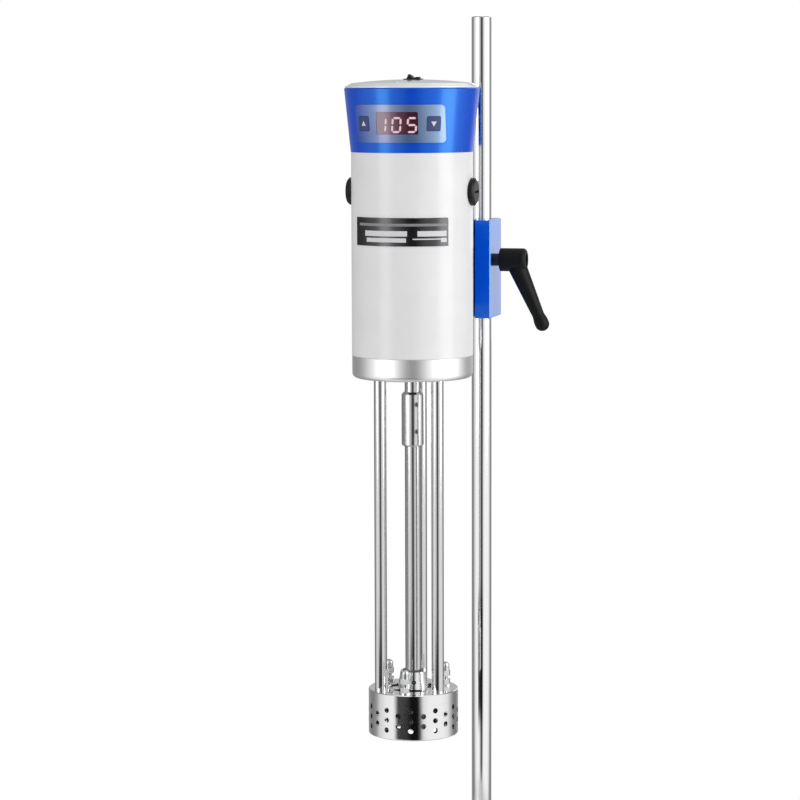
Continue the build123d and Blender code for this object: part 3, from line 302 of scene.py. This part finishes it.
def circuit_board(t):
    """Green board whose tracks show under the lacquer."""
    cells = t.node("ShaderNodeTexVoronoi", {"distance": "MANHATTAN", "feature": "DISTANCE_TO_EDGE"},
                   {"Vector": t.where(), "Scale": 320.0})
    track = cells < 0.09
    patch = t.marks(0.004)
    return {
        "Base Color": t.between(track, rgb(0.012, 0.11, 0.045), rgb(0.05, 0.26, 0.10)),
        "Roughness": 0.3 + 0.12 * patch,
        "Normal": t.bumps(track, 0.00003),
        "Coat Weight": 0.3,
    }


def fascia_film(t):
    """Silver-blue printed film, with painted light in its colour: a painted reflection makes it deep blue
    at its left end, a painted glow makes it warmer beside the lit display, and it is a little paler
    towards its top.
    """
    x, y, z = t.axes((SHAFT.x, SHAFT.y, PANEL_Z))
    across = (x + FILM_PAINTED_LIGHT_HALF_WIDTH) / (2 * FILM_PAINTED_LIGHT_HALF_WIDTH)
    up = (z + TINT_HALF_HEIGHT) / (2 * TINT_HALF_HEIGHT)
    # Painted light: the colour across the film stands in for a reflection at its left end and for the
    # display's glow in its middle.
    painted_reflection_and_glow = t.ramp(across, [
        (0.05, rgb(0.02, 0.09, 0.58)), (0.22, rgb(0.12, 0.19, 0.43)), (0.38, rgb(0.19, 0.21, 0.37)),
        (0.6, rgb(0.10, 0.17, 0.37)), (0.92, rgb(0.21, 0.33, 0.51)),
    ])
    flake = t.marks(0.00025, detail=2.0)
    return {
        "Base Color": t.between(up * 0.12, painted_reflection_and_glow, rgb(0.5, 0.6, 0.8)),
        "Metallic": 0.55,
        "Roughness": 0.3 + 0.08 * flake,
        "Normal": t.bumps(flake, 0.000004),
        "Coat Weight": 0.5,
        "Coat Roughness": 0.08,
    }


def display_glass(t):
    """Dark red filter with a painted reflection over its left part, glowing faintly behind the figures.
    """
    x, y, z = t.axes((SHAFT.x, SHAFT.y, PANEL_Z))
    cloud = t.marks(0.006)
    across = (x + GLASS_PAINTED_REFLECTION_HALF_WIDTH) / (2 * GLASS_PAINTED_REFLECTION_HALF_WIDTH)
    # Painted reflection: the pale colour over the left part of the glass stands in for a reflection, and
    # it also makes the glass rougher there.
    painted_reflection = t.ramp(across, [(0.0, 0.9), (0.2, 0.75), (0.42, 0.3), (0.55, 0.04), (1.0, 0.0)])
    near = 1.0 - (x * x * 3500.0 + z * z * 9000.0).maths("MINIMUM", 1.0)
    dark = t.between(cloud, rgb(0.030, 0.004, 0.012), rgb(0.045, 0.008, 0.02))
    return {
        "Base Color": t.between(painted_reflection, dark, rgb(0.36, 0.26, 0.33)),
        "Roughness": 0.1 + 0.03 * cloud + 0.2 * painted_reflection,
        "Emission Color": t.between(near, rgb(0.03, 0.004, 0.01), rgb(0.12, 0.012, 0.035)),
        "Emission Strength": 0.3,
    }


def lit_figures(t):
    """Light bars of the figures, slightly uneven."""
    patch = t.marks(0.0012)
    return {
        "Base Color": t.between(patch, rgb(0.62, 0.44, 0.50), rgb(0.70, 0.52, 0.58)),
        "Roughness": 0.4 + 0.1 * patch,
        "Emission Color": t.between(patch, rgb(0.80, 0.50, 0.58), rgb(0.84, 0.60, 0.68)),
        "Emission Strength": 0.22,
    }


def plate_anodised(t):
    """Black anodised metal plate with a fine satin grain."""
    lines = t.marks(0.0005, (40.0, 40.0, 1.0), detail=3.0)
    return {
        "Base Color": t.between(lines, rgb(0.062, 0.062, 0.066), rgb(0.080, 0.080, 0.084)),
        "Metallic": 1.0,
        "Roughness": 0.23 + 0.06 * lines,
        "Normal": t.bumps(lines, 0.000002),
    }


def printed(colour):
    """Printed or filled marking, not quite even."""

    def build(t):
        patch = t.marks(0.0008, detail=3.0)
        return {
            "Base Color": t.between(patch, shade(colour, 0.93), colour),
            "Roughness": 0.35 + 0.1 * patch,
            "Normal": t.bumps(patch, 0.000004),
        }

    return build


def rubber(t):
    """Dull black rubber with bloom."""
    bloom = t.marks(0.006, detail=4.0)
    return {
        "Base Color": t.between(bloom, rgb(0.012, 0.012, 0.012), rgb(0.035, 0.035, 0.034)),
        "Roughness": 0.62 + 0.16 * bloom,
        "Normal": t.bumps(t.marks(0.0007, detail=3.0), 0.00003),
    }


# The blue enamels hold fine metal flake, so their gloss is blue as well.
DEEP_BLUE = rgb(0.0008, 0.058, 0.60)
CLAMP_BLUE = rgb(0.0010, 0.115, 0.72)
BLUE_GLOSS = {"IOR": 1.75, "Specular IOR Level": 1.0, "Specular Tint": rgb(0.13, 0.52, 1.0)}

RECIPES = {
    "blue_enamel": enamel(DEEP_BLUE, 0.26, coat=0.05, depth=0.000012, gloss=BLUE_GLOSS),
    "clamp_enamel": enamel(CLAMP_BLUE, 0.22, coat=0.7, depth=0.000012, gloss=BLUE_GLOSS),
    "white_enamel": enamel(grey(0.80), 0.3, coat=0.15),
    "base_enamel": enamel(grey(0.80), 0.42, coat=0.05, peel=0.0016),
    "pale_lid": moulding(rgb(0.86, 0.93, 1.0), 0.2, coat=1.0),
    "chromed_bar": drawn_metal(rgb(0.90, 0.90, 0.91), 0.07, depth=0.0000002, spread=0.03),
    "drawn_rod": drawn_metal(grey(0.66), 0.13, depth=0.0000003),
    "ground_shaft": drawn_metal(grey(0.64), 0.15, depth=0.0000004),
    "turned_aluminium": turned_metal(rgb(0.90, 0.90, 0.91), 0.39, depth=0.000002),
    "polished_steel": turned_metal(grey(0.86), 0.1, depth=0.000001),
    "coupling_steel": turned_metal(grey(0.70), 0.12, depth=0.000001),
    "satin_steel": turned_metal(rgb(0.60, 0.60, 0.61), 0.25),
    "dark_steel": turned_metal(rgb(0.16, 0.16, 0.17), 0.4),
    "cast_aluminium": plated_screw(rgb(0.70, 0.71, 0.72), 0.45),
    "zinc_screw": plated_screw(rgb(0.72, 0.73, 0.74), 0.25),
    "grey_screw": plated_screw(rgb(0.34, 0.34, 0.35), 0.4),
    "black_screw": plated_screw(rgb(0.05, 0.05, 0.052), 0.35),
    "spring_wire": plated_screw(rgb(0.55, 0.55, 0.56), 0.22),
    "lamination_stack": lamination_stack,
    "wound_wire": wound_wire,
    "commutator_copper": turned_metal(rgb(0.80, 0.42, 0.25), 0.22),
    "inlet_brass": plated_screw(rgb(0.82, 0.66, 0.34), 0.22),
    "circuit_board": circuit_board,
    "fascia_film": fascia_film,
    "display_glass": display_glass,
    "lit_figures": lit_figures,
    "key_plastic": moulding(rgb(0.022, 0.045, 0.17), 0.35, coat=0.2),
    "plate_anodised": plate_anodised,
    "lever_nylon": moulding(rgb(0.005, 0.006, 0.005), 0.5, depth=0.00003, sheen=0.2),
    "black_moulding": moulding(rgb(0.008, 0.008, 0.009), 0.4, sheen=0.25),
    "natural_nylon": moulding(rgb(0.62, 0.60, 0.54), 0.5),
    "dark_bush": moulding(grey(0.10), 0.5),
    "brush_carbon": moulding(rgb(0.022, 0.021, 0.021), 0.6, depth=0.00004),
    "rubber": rubber,
    "white_marking": printed(rgb(0.70, 0.70, 0.72)),
    "grey_marking": printed(rgb(0.24, 0.24, 0.25)),
}
FINISHES = {name: finish(name, build) for name, build in RECIPES.items()}

WORN_BY = {
    "blue_enamel": ["head_shell"],
    "clamp_enamel": ["clamp_block", "support_arm"],
    "white_enamel": ["motor_housing"],
    "base_enamel": ["base_plate"],
    "pale_lid": ["top_cover"],
    "chromed_bar": ["column"],
    "drawn_rod": ["support_rods"],
    "ground_shaft": ["long_shaft", "motor_shaft", "tie_studs"],
    "turned_aluminium": ["end_bell"],
    "polished_steel": ["stator_ring", "stator_frame"],
    "coupling_steel": ["coupling"],
    "satin_steel": ["bearing_outer_rings", "bearing_inner_rings_and_balls"],
    "dark_steel": ["inlet_ring", "rotor"],
    "cast_aluminium": ["bearing_bridge"],
    "zinc_screw": ["foot_screws", "column_bolt_and_washer", "arm_screws", "bell_screws", "rod_nuts",
                   "rotor_nut", "tie_nuts_and_washers", "cap_nuts", "lever_screw", "cover_screws"],
    "grey_screw": ["coupling_set_screws"],
    "black_screw": ["lever_stud"],
    "spring_wire": ["lever_spring", "brush_springs"],
    "lamination_stack": ["field_core", "armature_core"],
    "wound_wire": ["field_coils", "armature_windings"],
    "commutator_copper": ["commutator"],
    "inlet_brass": ["inlet_pins"],
    "circuit_board": ["control_board"],
    "fascia_film": ["control_panel"],
    "display_glass": ["display_window"],
    "lit_figures": ["display_figures"],
    "key_plastic": ["key_up", "key_down"],
    "plate_anodised": ["nameplate"],
    "lever_nylon": ["lever_handle"],
    "black_moulding": ["brush_caps", "power_inlet", "power_switch", "power_rocker", "display_module",
                       "brush_holders"],
    "natural_nylon": ["cooling_fan"],
    "dark_bush": ["shaft_bush", "clamp_liner"],
    "brush_carbon": ["carbon_brushes"],
    "rubber": ["rubber_feet", "shaft_seal"],
}


def wear(piece, name):
    """Gives a piece one finish all over."""
    if not piece.material_slots:
        piece.data.materials.append(FINISHES[name])
    for slot in piece.material_slots:
        slot.material = FINISHES[name]


for name, nodes in WORN_BY.items():
    for node in nodes:
        wear(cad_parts[node], name)


def placed(name, data):
    """An object of the scene with this mesh, lamp or camera."""
    made = bpy.data.objects.new(name, data)
    bpy.context.scene.collection.objects.link(made)
    return made


def mesh_object(name, mesh):
    """An object of the scene made of the faces drawn so far."""
    data = bpy.data.meshes.new(name)
    mesh.to_mesh(data)
    mesh.free()
    return placed(name, data)


# ---------------------------------------------------------------- printed details
def sheet_piece(name, outlines, place, body, worn):
    """A thin piece made of flat outlines that place() lays on a curved surface."""
    mesh = bmesh.new()
    for outline in outlines:
        corners = [mesh.verts.new(place(u, v)) for u, v in outline]
        mesh.faces.new(corners)
    piece = mesh_object(name, mesh)
    wear(piece, worn)
    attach(piece, body)


def on_key(side):
    """Lays a point across and up the key's face on to its front."""

    def place(u, v):
        z = PANEL_Z + v
        share = (z - HEAD_BOTTOM) / (HEAD_TOP - HEAD_BOTTOM)
        head_radius = HEAD_BOTTOM_RADIUS + share * (HEAD_TOP_RADIUS - HEAD_BOTTOM_RADIUS)
        radius = head_radius + KEY_PROUD + KEY_INK
        flat = Vector((u, -sqrt(radius * radius - u * u), z))
        return Matrix.Rotation(side * KEY_ANGLE, 3, "Z") @ flat + SHAFT

    return place


def arrow(direction):
    """Small cells of a filled arrow head that points up (1) or down (-1)."""
    half_width, height, middle, count = 0.0023, 0.0040, 0.42, 8
    cells = []
    for row in range(count):
        low, high = row / count, (row + 1) / count
        bottom, top = direction * height * (low - middle), direction * height * (high - middle)
        wide, narrow = half_width * (1 - low), half_width * (1 - high)
        for column in range(count):
            left, right = 2 * column / count - 1, 2 * (column + 1) / count - 1
            cell = [
                (wide * left, bottom), (wide * right, bottom),
                (narrow * right, top), (narrow * left, top),
            ]
            if narrow == 0:
                cell = cell[:3]
            cells.append(cell if direction > 0 else cell[::-1])
    return cells


def on_plate(u, v):
    """Lays an angle from the front and a height on to the plate's face."""
    radius = PLATE_RADIUS + PLATE_INK
    return SHAFT + Vector((radius * sin(u), -radius * cos(u), v))


def field(start, end, bottom, top):
    """Strips 2 degrees wide of one blank field of the plate, between two angles and two heights."""
    steps = max(2, int((end - start) / 2.0))
    edges = [radians(start + (end - start) * step / steps) for step in range(steps + 1)]
    return [[(a, bottom), (b, bottom), (b, top), (a, top)] for a, b in zip(edges, edges[1:])]


sheet_piece("key_up_arrow", arrow(1), on_key(-1), "up_key", "white_marking")
sheet_piece("key_down_arrow", arrow(-1), on_key(1), "down_key", "white_marking")
sheet_piece("plate_header", field(-43.5, 47.5, 0.5731, 0.5752), on_plate, "head", "grey_marking")
PLATE_FIELDS = (
    field(-35.0, 9.0, 0.5652, 0.5694)
    + field(18.5, 47.0, 0.5652, 0.5694)
    + field(-33.0, 8.0, 0.5605, 0.5638)
    + field(14.0, 41.0, 0.5626, 0.5635)
    + field(41.0, 47.0, 0.5605, 0.5638)
)
sheet_piece("plate_fields", PLATE_FIELDS, on_plate, "head", "white_marking")


# ---------------------------------------------------------------- studio
# The room's brightness by the angle in degrees from the camera's side, as polished metal sees it:
# a dark camera corner, white boards to both sides, darker gaps past them, and a grey backdrop.
ROOM = [
    (-180, 0.5), (-160, 0.35), (-140, 0.26), (-122, 0.22), (-106, 0.34), (-92, 0.72), (-72, 0.96),
    (-50, 1.0), (-36, 0.95), (-24, 0.75), (-14, 0.4), (-8, 0.07), (8, 0.07), (15, 0.5), (24, 0.88),
    (36, 1.0), (74, 1.0), (94, 0.88), (108, 0.5), (120, 0.27), (136, 0.22), (150, 0.32), (165, 0.45),
    (180, 0.5),
]


def room_angle(x, y):
    """The angle of a horizontal direction from the camera's side, from -1 to 1 for half a turn."""
    right = x * cos(CAMERA_TURN) + y * sin(CAMERA_TURN)
    near = x * sin(CAMERA_TURN) - y * cos(CAMERA_TURN)
    return right.maths("ARCTAN2", near) * (1.0 / pi)


def room_level(tree, x, y):
    """The room's brightness in a horizontal direction."""
    stops = [((angle + 180) / 360, level) for angle, level in ROOM]
    return tree.ramp(room_angle(x, y) * 0.5 + 0.5, stops)


def light_paths(tree):
    """Whether a ray comes from the camera or through glass, and whether it is a reflection."""
    paths = tree.node("ShaderNodeLightPath").socket.node.outputs
    names = ("Is Camera Ray", "Is Transmission Ray", "Is Glossy Ray")
    camera, through, glossy = [Value(tree, paths[name]) for name in names]
    return (camera + through).maths("MINIMUM", 1.0), glossy


# A raised white board at the far right, by angle as a share of the turn from the far left, and how
# far down it reaches, as the height of a direction one metre long.
FAR_BOARD = [(0.88, 0.0), (0.895, 0.95), (0.96, 0.95), (0.975, 0.0)]
FAR_BOARD_FOOT = -0.088


def studio_world():
    """White backdrop for the camera, plain fill light, and the room for reflections."""
    world = bpy.data.worlds.new("studio")
    world.use_nodes = True
    tree = Tree(world.node_tree)
    x, y, z = tree.split(tree.node("ShaderNodeTexCoord", output=0))
    seen, glossy = light_paths(tree)
    fill = 0.62
    board = tree.ramp(room_angle(x, y) * 0.5 + 0.5, FAR_BOARD) * (z > FAR_BOARD_FOOT)
    level = room_level(tree, x, y).maths("MAXIMUM", board)
    light = fill + seen * (1.0 - fill) + glossy * (level - fill)
    shader = tree.node("ShaderNodeBackground", {}, {"Color": light, "Strength": 1.0})
    tree.node("ShaderNodeOutputWorld", {}, {"Surface": shader})
    bpy.context.scene.world = world


# A dark mat on the floor before the object, which shows in low reflections only: its strength by its
# distance from the object as a share of 2 metres, its middle and half width in degrees, how much
# light it takes, and how sharp its sides are.
DARK_MAT = [(0.24, 0.0), (0.3, 1.0), (0.6, 1.0), (0.7, 0.0)]
MAT_MIDDLE, MAT_HALF_WIDTH, MAT_DARKNESS, MAT_EDGE = -16.0, 36.0, 0.95, 3.0


def studio_floor():
    """Round pale floor that fades into the white backdrop and keeps the object's shadow."""
    mesh = bmesh.new()
    bmesh.ops.create_circle(mesh, cap_ends=True, segments=96, radius=FLOOR_RADIUS)
    floor = mesh_object("floor", mesh)
    material = bpy.data.materials.new("pale_floor")
    material.use_nodes = True
    tree = Tree(material.node_tree)
    x, y, z = tree.axes()
    distance = tree.radius_of(x, y)
    fade = tree.node("ShaderNodeMapRange", {"interpolation_type": "SMOOTHSTEP"},
                     {"Value": distance, "From Min": FADE_START, "From Max": FADE_END})
    off_middle = (room_angle(x, y) - MAT_MIDDLE / 180.0).maths("ABSOLUTE")
    inside = 1.0 - off_middle * (180.0 / MAT_HALF_WIDTH)
    across = (inside * MAT_EDGE).maths("MAXIMUM", 0.0).maths("MINIMUM", 1.0)
    mat = across * tree.ramp(distance * 0.5, DARK_MAT)
    level = room_level(tree, x, y) * (1.0 - mat * MAT_DARKNESS)
    seen, glossy = light_paths(tree)
    board = tree.node("ShaderNodeBsdfDiffuse", {}, {"Color": rgb(0.82, 0.82, 0.83)})
    white = tree.node("ShaderNodeEmission", {}, {"Color": rgb(1.0, 1.0, 1.0), "Strength": 1.0})
    room = tree.node("ShaderNodeEmission", {}, {"Color": level, "Strength": 1.0})
    shown = tree.node("ShaderNodeMixShader", {}, {0: seen * fade, 1: board, 2: white})
    surface = tree.node("ShaderNodeMixShader", {}, {0: glossy * fade, 1: shown, 2: room})
    tree.node("ShaderNodeOutputMaterial", {}, {"Surface": surface})
    floor.data.materials.append(material)


def soft_lamp(name, turn, distance, height, width, length, power):
    """Upright soft box at an angle from the camera's side, aimed at the motor."""
    lamp = bpy.data.lights.new(name, "AREA")
    lamp.shape = "RECTANGLE"
    lamp.size = width
    lamp.size_y = length
    lamp.energy = power
    holder = placed(name, lamp)
    angle = CAMERA_TURN + radians(turn)
    place = Vector((distance * sin(angle), -distance * cos(angle), height))
    holder.location = SHAFT + place
    aim = Vector((SHAFT.x, SHAFT.y, LAMP_AIM_HEIGHT)) - holder.location
    holder.rotation_euler = aim.to_track_quat("-Z", "Y").to_euler()


def studio_camera():
    """Long lens from the front right, looking down a little."""
    lens = bpy.data.cameras.new("camera")
    lens.lens = 130.19
    lens.sensor_width = 36.0
    camera = placed("camera", lens)
    turn = Matrix.Rotation(CAMERA_TURN, 3, "Z") @ Matrix.Rotation(pi / 2 - CAMERA_TILT, 3, "X")
    turn = turn @ Matrix.Rotation(CAMERA_ROLL, 3, "Z")
    camera.rotation_euler = turn.to_euler()
    camera.location = CAMERA_PLACE
    bpy.context.scene.camera = camera


studio_world()
studio_floor()
soft_lamp("right_soft_box", 66.0, 1.6, 0.85, 0.9, 1.4, 13.0)
soft_lamp("left_soft_box", -52.0, 1.8, 0.75, 0.7, 1.2, 6.5)
studio_camera()
bpy.context.scene.view_settings.view_transform = "Standard"
